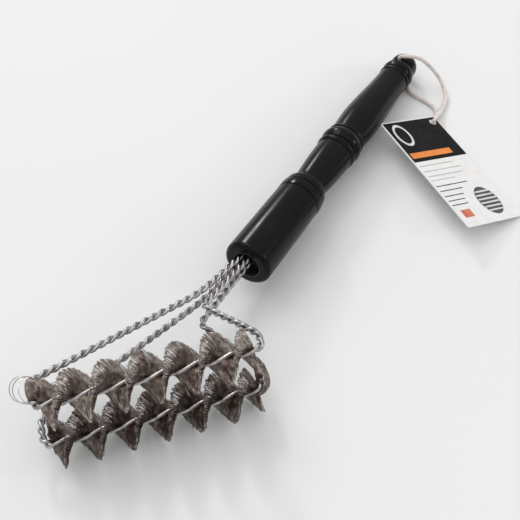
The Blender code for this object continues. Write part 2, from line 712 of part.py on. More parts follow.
def main():
    clear_scene()
    wood = material("black_lacquered_wood", (0.012, 0.010, 0.010), 0.18)
    resin = material("black_filler", (0.015, 0.014, 0.014), 0.5)
    steel = material("stem_wire_steel", (0.62, 0.60, 0.58), 0.28, 1.0)
    fine = material("fine_wire_steel", (0.24, 0.20, 0.18), 0.42, 1.0)
    cotton = material("off_white_cord", (0.80, 0.74, 0.70), 0.8)
    card = material("printed_card", (0.80, 0.78, 0.76), 0.5)

    upper = Loop(1, JUNCTION_UPPER, TAIL_UPPER)
    lower = Loop(-1, JUNCTION_LOWER, TAIL_LOWER)
    handle, hole_tool = make_handle(wood)
    filler, strand_tool = make_filler(resin)
    brush = [handle, make_sleeve(resin), filler]
    for label, loop, phase in (("upper", upper, UPPER_PHASE), ("lower", lower, LOWER_PHASE)):
        brush.append(make_wire(label + "_stem_wire_a", loop, phase, steel))
        brush.append(make_wire(label + "_stem_wire_b", loop, phase + math.pi, steel))
        lower_fill = make_fill(label + "_row_fill", loop, phase, fine)
        brush.append(lower_fill)
    brush.append(make_loose_rings(fine))

    rest = bpy.data.objects.new("brush_frame", None)
    bpy.context.scene.collection.objects.link(rest)
    rest.matrix_world = resting_matrix(handle, lower_fill)
    for obj in brush + [hole_tool, strand_tool]:
        obj.parent = rest
    low, high = world_box(brush)
    rest.location.x -= (low.x + high.x) / 2
    rest.location.y -= (low.y + high.y) / 2
    bpy.context.view_layer.update()

    hole = rest.matrix_world @ hole_frame().translation
    swing = bpy.data.objects.new("cord_frame", None)
    bpy.context.scene.collection.objects.link(swing)
    swing.location = hole
    make_cord(cotton, hole.z).parent = swing

    tag, tag_tool = make_tag(card)
    tag_centre = Vector(TAG_PLACE) - UP * hole.z
    tag_place = (Matrix.Translation(tag_centre) @ Matrix.Rotation(TAG_TURN, 4, "Z")
                 @ Matrix.Rotation(TAG_DROP, 4, "Y") @ Matrix.Rotation(-TAG_LEAN, 4, "X"))
    for obj in (tag, tag_tool):
        obj.parent = swing
        obj.matrix_local = tag_place


main()
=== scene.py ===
"""Looks of the grill cleaning brush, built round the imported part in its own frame, in metres.

The handle is turned finer, the stem wires are round, the fill is a real coil of fine wire, and
the hang cord and the print on the tag are modelled on their CAD solids.
"""

import json
import math
import random

import bmesh
import bpy
from mathutils import Matrix, Vector


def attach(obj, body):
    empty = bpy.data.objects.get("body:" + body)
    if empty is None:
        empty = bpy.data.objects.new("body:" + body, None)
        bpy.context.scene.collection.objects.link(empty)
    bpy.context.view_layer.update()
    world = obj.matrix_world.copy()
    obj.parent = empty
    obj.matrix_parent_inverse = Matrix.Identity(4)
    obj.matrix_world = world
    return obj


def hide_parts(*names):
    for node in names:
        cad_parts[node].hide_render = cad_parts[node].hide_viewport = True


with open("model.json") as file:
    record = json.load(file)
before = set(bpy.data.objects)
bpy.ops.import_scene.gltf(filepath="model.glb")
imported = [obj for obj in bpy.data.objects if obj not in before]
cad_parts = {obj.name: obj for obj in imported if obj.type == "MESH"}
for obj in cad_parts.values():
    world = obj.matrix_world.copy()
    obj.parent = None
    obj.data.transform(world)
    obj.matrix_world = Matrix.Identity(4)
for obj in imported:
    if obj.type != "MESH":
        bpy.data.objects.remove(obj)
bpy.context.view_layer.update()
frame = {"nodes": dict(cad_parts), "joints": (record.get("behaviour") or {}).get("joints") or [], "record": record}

# ---- camera and stage: turns of the camera in degrees, its lens and sensor in millimetres ---
CAMERA_FROM_HOLE = (0.21683, -0.61802)
CAMERA_HEIGHT = 0.55307
CAMERA_TURN = (39.236, 0.053, 29.544)
CAMERA_LENS = 69.23
SENSOR_WIDTH = 36.0
FLOOR_SIZE = 6.0
FLOOR_DROP = 0.0002
SMOOTH_ANGLE = math.radians(40.0)
KEY_FROM = (-1.0, 0.35, 1.45)
KEY_POWER = 0.58
KEY_ANGLE = math.radians(32.0)
SKY_LOW = 0.40
SKY_HIGH = 0.965
# Name, place, side of the square and power in watts.
SOFTBOXES = (
    ("strip", (-2.60, 2.30, 1.90), 0.5, 30.0),
    ("side", (2.60, 1.10, 1.20), 0.4, 8.0),
)

# ---- handle: radii, and stations measured back from the front face -------------------------
HANDLE_LENGTH = 0.2692
FRONT_FILLET = 0.0035
BARREL_FRONT_RADIUS = 0.0175
BARREL_REAR_RADIUS = 0.0168
BARREL_LENGTH = 0.0708
GROOVE_WIDTH = 0.0014
GROOVE_DEPTH = 0.0009
COLLAR_RADIUS = 0.0170
COLLAR_LENGTH = 0.0066
SECOND_COLLAR_RADIUS = 0.0161
SECOND_COLLAR_LENGTH = 0.0050
WAIST_RADIUS = 0.0125
WAIST_COVE_LENGTH = 0.0062
WAIST_LENGTH = 0.0370
WAIST_REAR_RADIUS = 0.0146
MIDDLE_COLLAR_RADIUS = 0.0156
MIDDLE_COLLAR_LENGTH = 0.0048
MIDDLE_BEAD_RADIUS = 0.0161
MIDDLE_BEAD_LENGTH = 0.0105
MIDDLE_RING_RADIUS = 0.0149
MIDDLE_RING_LENGTH = 0.0024
GRIP_FRONT_RADIUS = 0.0136
GRIP_SWELL_RADIUS = 0.0150
GRIP_SWELL_LENGTH = 0.0230
GRIP_REAR_RADIUS = 0.0123
REAR_COLLAR_RADIUS = 0.0129
REAR_COLLAR_LENGTH = 0.0034
REAR_RING_RADIUS = 0.0130
REAR_RING_LENGTH = 0.0072
NECK_RADIUS = 0.0108
BALL_RADIUS = 0.0111
BORE_RADIUS = 0.0110
BORE_DEPTH = 0.0500
HANDLE_SIDES = 112
HANDLE_SMOOTH_ANGLE = math.radians(28.0)
FILLET_STEPS = 8
GROOVE_STEPS = 6
COVE_STEPS = 12
BALL_STEPS = 14
HOLE_RADIUS = 0.00275
HOLE_SINK_RADIUS = 0.0047
HOLE_FROM_END = 0.0147
HOLE_LEAN = math.radians(16.0)
HOLE_SIDES = 48

# ---- stem wires and the route of each loop, as in the part ----------------------------------
WIRE_RADIUS = 0.0012
WIRE_SIDES = 10
WIRE_STEP = 0.0009
WIRE_TOUCH = 0.00002
LOOP_STEP = 0.0005
ROW_TOLERANCE = 1e-6
STRAND_PITCH = 0.0132
STRAND_SPACING = 0.0054
BUNDLE_OFFSET = 0.0037
STRAND_BORE_DEPTH = 0.0410
SPREAD_START_Y = -0.0010
FORWARD_KNEE = (-0.0117, -0.0399, 0.0045)
ROW_FRONT = (-0.0411, -0.1717)
ROW_ANGLE = math.radians(43.2)
ROW_SPACING = 0.0393
NOSE_ALONG = -0.0003
NOSE_HEAD = (0.0197, 0.0182)
TAIL_UPPER = (0.1387, 0.0130, 0.0178)
TAIL_LOWER = (0.1400, 0.0170, 0.0178)
JUNCTION_UPPER = (-0.0025, -0.0505, 0.0065)
JUNCTION_LOWER = (-0.0035, -0.0550, 0.0070)
SPREAD_RADIUS = 0.030
KNEE_RADIUS = 0.120
NOSE_HEAD_RADIUS = 0.0110
NOSE_FOOT_RADIUS = 0.0045
TAIL_FOOT_RADIUS = 0.0060
TAIL_HEAD_RADIUS = 0.0150
JUNCTION_RADIUS = 0.0048
ROW_PITCH = 0.0424
UPPER_PHASE = math.radians(160.0)
LOWER_PHASE = math.radians(163.0)

# ---- coil of fine wire clamped between the stem wires ---------------------------------------
COIL_RADIUS = 0.0172
COIL_WIRE_RADIUS = 0.00023
COIL_WIRE_SIDES = 4
COIL_TURNS = 400
COIL_STEPS = 20
COIL_SHORTEST = 0.94
COIL_SCATTER = 0.0004
COIL_SLIMMEST = 0.4
COIL_OPEN_SHARE = 0.7
COIL_ROUNDING = 0.7
UPPER_SEED = 11
LOWER_SEED = 23
COIL_WEB = 0.0003
COIL_WEB_REACH = 0.0022
COIL_BULGE = 0.0032
COIL_FRONT_RADIUS = 0.0078
COIL_REAR_RADIUS = 0.0158
COIL_END_TAPER = 0.0060
FILL_WEB = 0.0006
FILL_RAKE = 0.0027
FILL_TILT = 0.0052
CLEARANCE = 0.0003
TAIL_COIL_LENGTH = 0.0240
TAIL_COIL_TURNS = 60
TAIL_COIL_RADIUS = 0.0050
TAIL_COIL_END_RADIUS = 0.0031
TAIL_COIL_SIZES = (0.90, 1.06)
TAIL_COIL_OFFSET = 0.0016
TAIL_SHEAR = 0.9
LOOSE_PLACE = (-0.0040, 0.0145, 0.0197)
LOOSE_LEAN = math.radians(43.0)
LOOSE_RING_RADIUS = 0.0081
LOOSE_START = (0.0075, 0.0070, 0.0197)
LOOSE_START_RADIUS = 0.0062
TIGHT_TURNS = 26
SPRUNG_TURNS = 3
SPRUNG_SHARE = 0.42
LOOSE_STEPS = 32
LOOSE_OPENING = 1.6
LOOSE_SIZES = (0.94, 1.02)
LOOSE_SEED = 5
LOOSE_WIRE_RADIUS = 0.00024

# Dark, middle and bright colour of each stretch of fine wire. The upper row's colours are painted lighter as
# painted light and the lower row's darker as painted shade, on one and the same wire.
UPPER_COIL_LIT_COLOURS = ((0.19, 0.152, 0.135), (0.38, 0.32, 0.29), (0.68, 0.61, 0.56))
LOWER_COIL_SHADED_COLOURS = ((0.10, 0.078, 0.070), (0.22, 0.178, 0.160), (0.48, 0.41, 0.375))
# Painted highlight: the sprung turns are the same fine wire, painted much brighter to stand in for the light they
# catch.
SPRUNG_HIGHLIGHT_COLOURS = ((0.34, 0.31, 0.29), (0.60, 0.57, 0.54), (0.85, 0.82, 0.80))

# ---- hang cord and tag ----------------------------------------------------------------------
CORD_DIAMETER = 0.0032
CORD_POINTS = 260
CORD_SIDES = 18
CORD_STRANDS = 3
CORD_LAY = 0.0085
CORD_GROOVE = 0.00022
CORD_SMOOTH_ANGLE = math.radians(60.0)
ROUTE_STEPS = 24
TAG_WIDTH = 0.0540
TAG_THICKNESS = 0.0006
TAG_HOLE_RADIUS = 0.0031
TAG_HOLE_FROM_SIDE = 0.0050
TAG_HOLE_FROM_TOP = 0.0066
TAG_TURN = math.radians(-32.2)
TAG_LEAN = math.radians(16.3)
TAG_DROP = math.radians(2.0)
PRINT_RISE = 0.00003

# Print on the tag, in millimetres along and across the card from the middle of its hole.
# A bar is its two stations along and its two across, an oval its middle and its half sizes.
HEADER_TOP_EDGE = 1.0
HEADER_SIDE_EDGE = 1.2
HEADER_END = 40.0
HEADER_SLIT = 0.01
KEYHOLE_SIDES = 24
EMBLEM_PLACE = (9.7, -37.5)
EMBLEM_OUTSIDE = (12.5, 7.0)
EMBLEM_INSIDE = (9.8, 5.2)
TITLE_BAR = (30.0, 36.0, -46.0, -6.0)
SQUARE = (93.7, 101.5, -44.0, -35.0)
TEXT_SIDE = -47.0
TEXT_HALF_WIDTH = 0.5
TEXT_LINES = ((44.9, -14.0), (50.9, -10.0), (56.5, -12.5), (61.0, -23.6))
NOTE_LINES = ((67.4, -16.5), (72.7, -25.0), (78.4, -28.3), (83.3, -31.0), (88.0, -31.5))
PICTURE_PLACE = (89.4, -12.0)
PICTURE_HALF = (14.5, 9.5)
STRIPES = 6
STRIPE_START = 79.0
STRIPE_PITCH = 3.9
STRIPE_WIDTH = 1.6
STRIPE_MIDDLE = 0.7
STRIPE_REACH = 9.0

# Route of the cord, as in the part: offsets from the middle of the cross hole, and for the
# stretch on the table its height above the table as third value.
CORD_OVER_BALL = (
    (-0.0012, 0.0002, 0.0041),
    (-0.0029, 0.0004, 0.0091),
    (-0.0024, 0.0006, 0.0118),
    (0.0004, 0.0010, 0.0134),
    (0.0042, 0.0024, 0.0137),
    (0.0080, 0.0044, 0.0134),
    (0.0112, 0.0062, 0.0122),
    (0.0143, 0.0081, 0.0101),
)
CORD_ON_TABLE = (
    (0.0218, 0.0104, 0.0160),
    (0.0302, 0.0096, 0.0095),
    (0.0379, 0.0035, 0.0050),
    (0.0424, -0.0033, 0.0030),
    (0.0448, -0.0129, 0.0024),
    (0.0458, -0.0219, 0.0034),
    (0.0465, -0.0290, 0.0061),
    (0.0467, -0.0335, 0.0076),
    (0.0466, -0.0372, 0.0078),
    (0.0460, -0.0393, 0.0058),
    (0.0454, -0.0380, 0.0035),
    (0.0449, -0.0345, 0.0021),
    (0.0446, -0.0295, 0.0018),
    (0.0427, -0.0223, 0.0018),
    (0.0368, -0.0167, 0.0018),
    (0.0291, -0.0141, 0.0018),
    (0.0202, -0.0122, 0.0018),
    (0.0140, -0.0097, 0.0018),
    (0.0106, -0.0063, 0.0018),
    (0.0086, -0.0026, 0.0018),
    (0.0060, -0.0006, 0.0021),
)
CORD_INTO_HOLE = (
    (0.0039, -0.0003, -0.0084),
    (0.0022, -0.0002, -0.0052),
    (0.0006, 0.0000, -0.0014),
)

UP = Vector((0.0, 0.0, 1.0))
ROW_ALONG = Vector((math.sin(ROW_ANGLE), math.cos(ROW_ANGLE), 0.0))
ROW_ACROSS = Vector((-math.cos(ROW_ANGLE), math.sin(ROW_ANGLE), 0.0))


# ---- own frames of the brush and the tag ----------------------------------------------------
def brush_frame():
    """The brush's own frame: handle along +Y from its front face, loops mirrored about z = 0."""
    mount = next(m for m in frame["record"]["mounts"] if m["name"] == "front_face")
    swing = JOINTS["cord_swing"]
    y_axis = -Vector(mount["axis"]).normalized()
    z_axis = Matrix.Rotation(HOLE_LEAN, 3, y_axis) @ Vector(swing["axis"]).normalized()
    x_axis = y_axis.cross(z_axis).normalized()
    z_axis = x_axis.cross(y_axis).normalized()
    origin = HOLE - y_axis * (HANDLE_LENGTH - HOLE_FROM_END)
    turn = Matrix((x_axis, y_axis, z_axis)).transposed().to_4x4()
    return Matrix.Translation(origin) @ turn


JOINTS = {joint["name"]: joint for joint in frame["joints"]}
HOLE = Vector(JOINTS["cord_swing"]["pos_m"])
BRUSH = brush_frame()
TAG = (Matrix.Translation(Vector(JOINTS["tag_swing"]["pos_m"])) @ Matrix.Rotation(TAG_TURN, 4, "Z")
       @ Matrix.Rotation(TAG_DROP, 4, "Y") @ Matrix.Rotation(-TAG_LEAN, 4, "X"))


# ---- materials ------------------------------------------------------------------------------
class Look:
    """A Principled material whose detail comes from noise in the part's own coordinates."""

    def __init__(self, name, roughness, metallic=0.0):
        self.material = bpy.data.materials.new(name)
        self.material.use_nodes = True
        self.nodes = self.material.node_tree.nodes
        self.links = self.material.node_tree.links
        self.shader = self.nodes["Principled BSDF"]
        self.shader.inputs["Roughness"].default_value = roughness
        self.shader.inputs["Metallic"].default_value = metallic
        self.place = self.nodes.new("ShaderNodeTexCoord").outputs["Object"]

    def noise(self, scale, detail, stretch=(1.0, 1.0, 1.0)):
        mapping = self.nodes.new("ShaderNodeMapping")
        mapping.inputs["Scale"].default_value = stretch
        self.links.new(self.place, mapping.inputs["Vector"])
        noise = self.nodes.new("ShaderNodeTexNoise")
        noise.inputs["Scale"].default_value = scale
        noise.inputs["Detail"].default_value = detail
        self.links.new(mapping.outputs["Vector"], noise.inputs["Vector"])
        return noise.outputs["Fac"]

    def colour(self, value, *stops):
        """Base colour from a value, through stops of (position, colour)."""
        ramp = self.nodes.new("ShaderNodeValToRGB")
        elements = ramp.color_ramp.elements
        while len(elements) < len(stops):
            elements.new(0.5)
        for element, (position, colour) in zip(elements, stops):
            element.position = position
            element.color = (*colour, 1.0)
        self.links.new(value, ramp.inputs["Fac"])
        self.links.new(ramp.outputs["Color"], self.shader.inputs["Base Color"])

    def roughness(self, value, low, high):
        span = self.nodes.new("ShaderNodeMapRange")
        span.inputs["To Min"].default_value = low
        span.inputs["To Max"].default_value = high
        self.links.new(value, span.inputs["Value"])
        self.links.new(span.outputs["Result"], self.shader.inputs["Roughness"])

    def bump(self, value, distance, strength):
        bump = self.nodes.new("ShaderNodeBump")
        bump.inputs["Distance"].default_value = distance
        bump.inputs["Strength"].default_value = strength
        self.links.new(value, bump.inputs["Height"])
        self.links.new(bump.outputs["Normal"], self.shader.inputs["Normal"])


def lacquer():
    """Black lacquer over turned wood: a faint grain under a glossy coat."""
    look = Look("lacquered_wood", 0.22)
    grain = look.noise(420.0, 6.0, stretch=(1.0, 0.07, 1.0))
    look.colour(grain, (0.30, (0.0015, 0.0013, 0.0013)), (0.62, (0.004, 0.003, 0.003)),
                (0.85, (0.010, 0.007, 0.006)))
    look.roughness(look.noise(90.0, 4.0), 0.16, 0.28)
    look.bump(grain, 0.00010, 0.4)
    look.shader.inputs["Specular IOR Level"].default_value = 0.16
    return look.material


def plastic(name, depth):
    look = Look(name, 0.5)
    speck = look.noise(900.0, 4.0)
    look.colour(speck, (0.3, (0.010, 0.010, 0.010)), (0.7, (depth, depth, depth)))
    look.roughness(speck, 0.38, 0.62)
    look.bump(speck, 0.00008, 0.6)
    return look.material


def stem_steel():
    """Drawn steel: bright, with grey die marks along it."""
    look = Look("drawn_steel", 0.25, 1.0)
    tarnish = look.noise(260.0, 6.0)
    look.colour(tarnish, (0.25, (0.20, 0.19, 0.195)), (0.50, (0.42, 0.40, 0.405)),
                (0.80, (0.66, 0.64, 0.63)))
    look.roughness(look.noise(700.0, 4.0), 0.16, 0.40)
    look.bump(look.noise(1500.0, 3.0), 0.00005, 0.5)
    return look.material


def coil_steel(name, dark, middle, bright):
    """Fine wire: mostly dull brown-grey, with brighter stretches; the colours given make its copies lighter or
    darker, as painted light and painted shade.
    """
    look = Look(name, 0.38, 1.0)
    patches = look.noise(330.0, 5.0)
    look.colour(patches, (0.30, dark), (0.50, middle), (0.70, bright))
    look.roughness(look.noise(800.0, 3.0), 0.26, 0.42)
    look.bump(look.noise(2400.0, 2.0), 0.00004, 0.5)
    return look.material


def cotton():
    """Soft laid cord: pale, slightly pink, with fine fibres."""
    look = Look("cotton_cord", 0.85)
    fibres = look.noise(1900.0, 5.0)
    look.colour(look.noise(300.0, 4.0), (0.30, (0.66, 0.57, 0.53)), (0.55, (0.80, 0.72, 0.68)),
                (0.80, (0.88, 0.82, 0.78)))
    look.bump(fibres, 0.00025, 0.9)
    look.shader.inputs["Sheen Weight"].default_value = 0.25
    look.shader.inputs["Sheen Roughness"].default_value = 0.5
    return look.material


def paper(name, dark, pale, roughness=0.42):
    """Coated card or ink on it: even, with a faint cloud and a fine tooth."""
    look = Look(name, roughness)
    look.shader.inputs["Specular IOR Level"].default_value = 0.08
    look.colour(look.noise(140.0, 5.0), (0.30, dark), (0.70, pale))
    tooth = look.noise(2600.0, 2.0)
    look.roughness(tooth, roughness - 0.08, roughness + 0.08)
    look.bump(tooth, 0.00002, 0.4)
    return look.material


def floor_paint():
    """Matt and pale, with a slow change of shade."""
    look = Look("pale_floor", 0.6)
    look.colour(look.noise(3.0, 2.0), (0.2, (0.80, 0.81, 0.805)), (0.8, (0.82, 0.83, 0.825)))
    look.shader.inputs["Specular IOR Level"].default_value = 0.1
    return look.material


# ---- small helpers --------------------------------------------------------------------------
def add_object(name, mesh, body, slot, *replaced):
    obj = bpy.data.objects.new(name, mesh)
    bpy.context.scene.collection.objects.link(obj)
    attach(obj, body)
    if replaced:
        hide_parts(*replaced)
    return obj


def finished_mesh(name, bm, mat, place=None, smooth_angle=SMOOTH_ANGLE):
    bmesh.ops.recalc_face_normals(bm, faces=bm.faces)
    mesh = bpy.data.meshes.new(name)
    bm.to_mesh(mesh)
    bm.free()
    if place is not None:
        mesh.transform(place)
    mesh.materials.append(mat)
    mesh.shade_smooth()
    mesh.set_sharp_from_angle(angle=smooth_angle)
    return mesh


def ease(t):
    t = min(max(t, 0.0), 1.0)
    return t * t * (3.0 - 2.0 * t)


def tube(bm, line, radius, sides):
    """A closed tube along a dense line; radius is a number or a function of (index, angle)."""
    radius_at = radius if callable(radius) else lambda index, angle: radius
    normal = (line[1] - line[0]).orthogonal().normalized()
    near = None
    for index, point in enumerate(line):
        tangent = (line[min(index + 1, len(line) - 1)] - line[max(index - 1, 0)]).normalized()
        normal = (normal - tangent * normal.dot(tangent)).normalized()
        binormal = tangent.cross(normal)
        ring = []
        for i in range(sides):
            angle = math.tau * i / sides
            spoke = normal * math.cos(angle) + binormal * math.sin(angle)
            ring.append(bm.verts.new(point + spoke * radius_at(index, angle)))
        if near is None:
            bm.faces.new(ring[::-1])
        else:
            for i in range(sides):
                j = (i + 1) % sides
                bm.faces.new((near[i], near[j], ring[j], ring[i]))
        near = ring
    bm.faces.new(near)


# ---- handle ---------------------------------------------------------------------------------
def arc_bump(start, stop, edge_radius, crest_radius, steps):
    """Outline points of a turned bead, a half sine between two stations."""
    points = []
    for i in range(1, steps + 1):
        t = i / steps
        radius = edge_radius + (crest_radius - edge_radius) * math.sin(math.pi * t)
        points.append((radius, start + (stop - start) * t))
    return points


def sweep(start, stop, first_radius, last_radius, steps, blend):
    """Outline points whose radius goes from one value to the next by a blend of 0 to 1."""
    points = []
    for i in range(1, steps + 1):
        t = i / steps
        radius = first_radius + (last_radius - first_radius) * blend(t)
        points.append((radius, start + (stop - start) * t))
    return points


def groove(station, radius):
    """A small round-bottomed groove that starts at a station."""
    return [(radius - GROOVE_DEPTH * math.sin(math.pi * i / GROOVE_STEPS),
             station + GROOVE_WIDTH * i / GROOVE_STEPS)
            for i in range(GROOVE_STEPS + 1)]


def quarter(t):
    return math.sin(math.pi / 2 * t)


def handle_profile():
    """Outline of the handle from the bottom of its bore round the front to the rear end."""
    profile = [(0.0, BORE_DEPTH), (BORE_RADIUS, BORE_DEPTH), (BORE_RADIUS, 0.0)]
    for i in range(FILLET_STEPS + 1):
        angle = math.pi / 2 * i / FILLET_STEPS
        profile.append((BARREL_FRONT_RADIUS - FRONT_FILLET * (1.0 - math.sin(angle)),
                        FRONT_FILLET * (1.0 - math.cos(angle))))
    y = BARREL_LENGTH
    profile += groove(y, BARREL_REAR_RADIUS)
    y += GROOVE_WIDTH
    profile += arc_bump(y, y + COLLAR_LENGTH, BARREL_REAR_RADIUS, COLLAR_RADIUS, 10)
    y += COLLAR_LENGTH
    profile += groove(y, SECOND_COLLAR_RADIUS)
    y += GROOVE_WIDTH + SECOND_COLLAR_LENGTH
    profile.append((SECOND_COLLAR_RADIUS, y - SECOND_COLLAR_LENGTH / 2))
    drop = SECOND_COLLAR_RADIUS - WAIST_RADIUS
    for i in range(1, COVE_STEPS + 1):
        angle = math.pi / 2 * i / COVE_STEPS
        profile.append((SECOND_COLLAR_RADIUS - drop * math.sin(angle),
                        y + WAIST_COVE_LENGTH * (1.0 - math.cos(angle))))
    y += WAIST_COVE_LENGTH
    profile += sweep(y, y + WAIST_LENGTH, WAIST_RADIUS, WAIST_REAR_RADIUS, 16, quarter)
    y += WAIST_LENGTH
    profile += groove(y + GROOVE_WIDTH, WAIST_REAR_RADIUS)
    y += 2 * GROOVE_WIDTH
    for crest, length in ((MIDDLE_COLLAR_RADIUS, MIDDLE_COLLAR_LENGTH),
                          (MIDDLE_BEAD_RADIUS, MIDDLE_BEAD_LENGTH)):
        profile += arc_bump(y, y + length, WAIST_REAR_RADIUS, crest, 12)
        profile += groove(y + length, WAIST_REAR_RADIUS)[1:]
        y += length + GROOVE_WIDTH
    profile += arc_bump(y, y + MIDDLE_RING_LENGTH, WAIST_REAR_RADIUS, MIDDLE_RING_RADIUS, 6)
    y += MIDDLE_RING_LENGTH
    profile.append((GRIP_FRONT_RADIUS, y + GROOVE_WIDTH))
    y += GROOVE_WIDTH
    profile += sweep(y, y + GRIP_SWELL_LENGTH, GRIP_FRONT_RADIUS, GRIP_SWELL_RADIUS, 10, quarter)
    y += GRIP_SWELL_LENGTH
    ring_rear = HANDLE_LENGTH - HOLE_FROM_END - HOLE_SINK_RADIUS
    ring_front = ring_rear - REAR_RING_LENGTH
    collar_front = ring_front - GROOVE_WIDTH - REAR_COLLAR_LENGTH
    profile += sweep(y, collar_front - GROOVE_WIDTH, GRIP_SWELL_RADIUS, GRIP_REAR_RADIUS, 20, ease)
    for start, length, crest in ((collar_front, REAR_COLLAR_LENGTH, REAR_COLLAR_RADIUS),
                                 (ring_front, REAR_RING_LENGTH, REAR_RING_RADIUS)):
        profile += groove(start - GROOVE_WIDTH, GRIP_REAR_RADIUS)[1:]
        profile += arc_bump(start, start + length, GRIP_REAR_RADIUS, crest, 10)
    profile.append((NECK_RADIUS, ring_rear + GROOVE_WIDTH))
    centre = HANDLE_LENGTH - BALL_RADIUS
    for i in range(BALL_STEPS):
        angle = math.pi / 2 * i / BALL_STEPS
        profile.append((BALL_RADIUS * math.cos(angle), centre + BALL_RADIUS * math.sin(angle)))
    profile.append((0.0, HANDLE_LENGTH))
    return profile


def lathe(profile, sides):
    """Turn an outline of (radius, y) about the Y axis; both of its ends lie on the axis."""
    bm = bmesh.new()
    first = bm.verts.new((0.0, profile[0][1], 0.0))
    last = bm.verts.new((0.0, profile[-1][1], 0.0))
    loops = []
    for radius, y in profile[1:-1]:
        loops.append([bm.verts.new((radius * math.cos(math.tau * i / sides), y,
                                    radius * math.sin(math.tau * i / sides))) for i in range(sides)])
    for i in range(sides):
        j = (i + 1) % sides
        bm.faces.new((first, loops[0][i], loops[0][j]))
        bm.faces.new((last, loops[-1][j], loops[-1][i]))
        for near, far in zip(loops, loops[1:]):
            bm.faces.new((near[i], near[j], far[j], far[i]))
    return bm


def cross_hole_tool():
    """A round rod that opens out to a countersink at both ends of the cross hole."""
    reach = 2 * BALL_RADIUS
    mouth = BALL_RADIUS - (HOLE_SINK_RADIUS - HOLE_RADIUS)
    wide = HOLE_SINK_RADIUS + reach - BALL_RADIUS
    outline = [(0.0, -reach), (wide, -reach), (HOLE_RADIUS, -mouth), (HOLE_RADIUS, mouth),
               (wide, reach), (0.0, reach)]
    bm = lathe(outline, HOLE_SIDES)
    upright = Matrix.Rotation(math.radians(90.0), 4, "X")
    lean = Matrix.Rotation(-HOLE_LEAN, 4, "Y")
    middle = Matrix.Translation((0.0, HANDLE_LENGTH - HOLE_FROM_END, 0.0))
    mesh = finished_mesh("cross_hole_tool", bm, None, middle @ lean @ upright)
    obj = bpy.data.objects.new("cross_hole_tool", mesh)
    bpy.context.scene.collection.objects.link(obj)
    return obj


def make_handle(mat):
    """The handle turned from its outline, with the cross hole cut through the neck."""
    mesh = finished_mesh("turned_handle", lathe(handle_profile(), HANDLE_SIDES), mat)
    blank = bpy.data.objects.new("blank", mesh)
    bpy.context.scene.collection.objects.link(blank)
    tool = cross_hole_tool()
    drill = blank.modifiers.new("cross_hole", "BOOLEAN")
    drill.operation = "DIFFERENCE"
    drill.solver = "EXACT"
    drill.object = tool
    bpy.context.view_layer.update()
    graph = bpy.context.evaluated_depsgraph_get()
    drilled = bpy.data.meshes.new_from_object(blank.evaluated_get(graph))
    for spare in (blank, tool):
        bpy.data.objects.remove(spare, do_unlink=True)
    drilled.materials.clear()
    drilled.materials.append(mat)
    drilled.transform(BRUSH)
    drilled.shade_smooth()
    drilled.set_sharp_from_angle(angle=HANDLE_SMOOTH_ANGLE)
    add_object("turned_handle", drilled, "brush", "black_lacquered_wood", "handle")


# ---- stem wires -----------------------------------------------------------------------------
def fillet(points, radii):
    """A dense line through corner points, each rounded by its own radius."""
    line = [points[0]]
    for before, corner, after, radius in zip(points, points[1:], points[2:], radii):
        into = (corner - before).normalized()
        out = (after - corner).normalized()
        turn = into.angle(out)
        start = corner - into * (radius * math.tan(turn / 2))
        inward = (out - into).normalized()
        centre = corner + inward * (radius / math.cos(turn / 2))
        steps = max(3, int(radius * turn / LOOP_STEP))
        axis = into.cross(out).normalized()
        spoke = start - centre
        for i in range(steps + 1):
            line.append(centre + Matrix.Rotation(turn * i / steps, 3, axis) @ spoke)
    line.append(points[-1])
    dense = [line[0]]
    for a, b in zip(line, line[1:]):
        pieces = max(1, int((b - a).length / LOOP_STEP))
        dense += [a.lerp(b, (i + 1) / pieces) for i in range(pieces)]
    return dense


class Loop:
    """Centre line of one stem loop, with the arc lengths where its row starts and stops."""

    def __init__(self, side, junction, tail):
        forward_x = -BUNDLE_OFFSET - STRAND_SPACING / 2
        return_x = -BUNDLE_OFFSET + STRAND_SPACING / 2
        low = STRAND_SPACING / 2
        high = ROW_SPACING / 2
        front = Vector((*ROW_FRONT, 0.0))

        def beside(along, across, height):
            return front + ROW_ALONG * along + ROW_ACROSS * across + UP * height

        corners = [Vector((forward_x, STRAND_BORE_DEPTH, low)),
                   Vector((forward_x, SPREAD_START_Y, low)), Vector(FORWARD_KNEE),
                   beside(NOSE_ALONG, *NOSE_HEAD), beside(NOSE_ALONG, 0.0, high),
                   beside(tail[0], 0.0, high), beside(*tail), Vector(junction),
                   Vector((return_x, SPREAD_START_Y, low)),
                   Vector((return_x, STRAND_BORE_DEPTH, low))]
        radii = (SPREAD_RADIUS, KNEE_RADIUS, NOSE_HEAD_RADIUS, NOSE_FOOT_RADIUS,
                 TAIL_FOOT_RADIUS, TAIL_HEAD_RADIUS, JUNCTION_RADIUS, SPREAD_RADIUS)
        line = fillet(corners, radii)
        self.points = [Vector((p.x, p.y, side * p.z)) for p in line]
        self.length = [0.0]
        for a, b in zip(line, line[1:]):
            self.length.append(self.length[-1] + (b - a).length)
        self.total = self.length[-1]
        row = [s for s, p in zip(self.length, line) if (p - front).dot(ROW_ACROSS) < ROW_TOLERANCE]
        self.row_start = row[0]
        self.row_stop = row[-1]

    def at(self, s):
        """Point and cross-section frame at arc length s."""
        s = min(max(s, 0.0), self.total)
        low, high = 0, len(self.length) - 1
        while high - low > 1:
            mid = (low + high) // 2
            if self.length[mid] <= s:
                low = mid
            else:
                high = mid
        span = self.length[high] - self.length[low]
        point = self.points[low].lerp(self.points[high], (s - self.length[low]) / span)
        before = max(low - 1, 0)
        after = min(high + 1, len(self.points) - 1)
        tangent = (self.points[after] - self.points[before]).normalized()
        side = UP.cross(tangent).normalized()
        return point, tangent, side, tangent.cross(side)

    def twist(self, s, phase):
        """Left-hand twist angle: slow along the row, quick along the bare strands."""
        row = min(max(s, self.row_start), self.row_stop) - self.row_start
        bare = min(s - self.row_start, 0.0) + max(s - self.row_stop, 0.0)
        return phase - math.tau * (row / ROW_PITCH + bare / STRAND_PITCH)


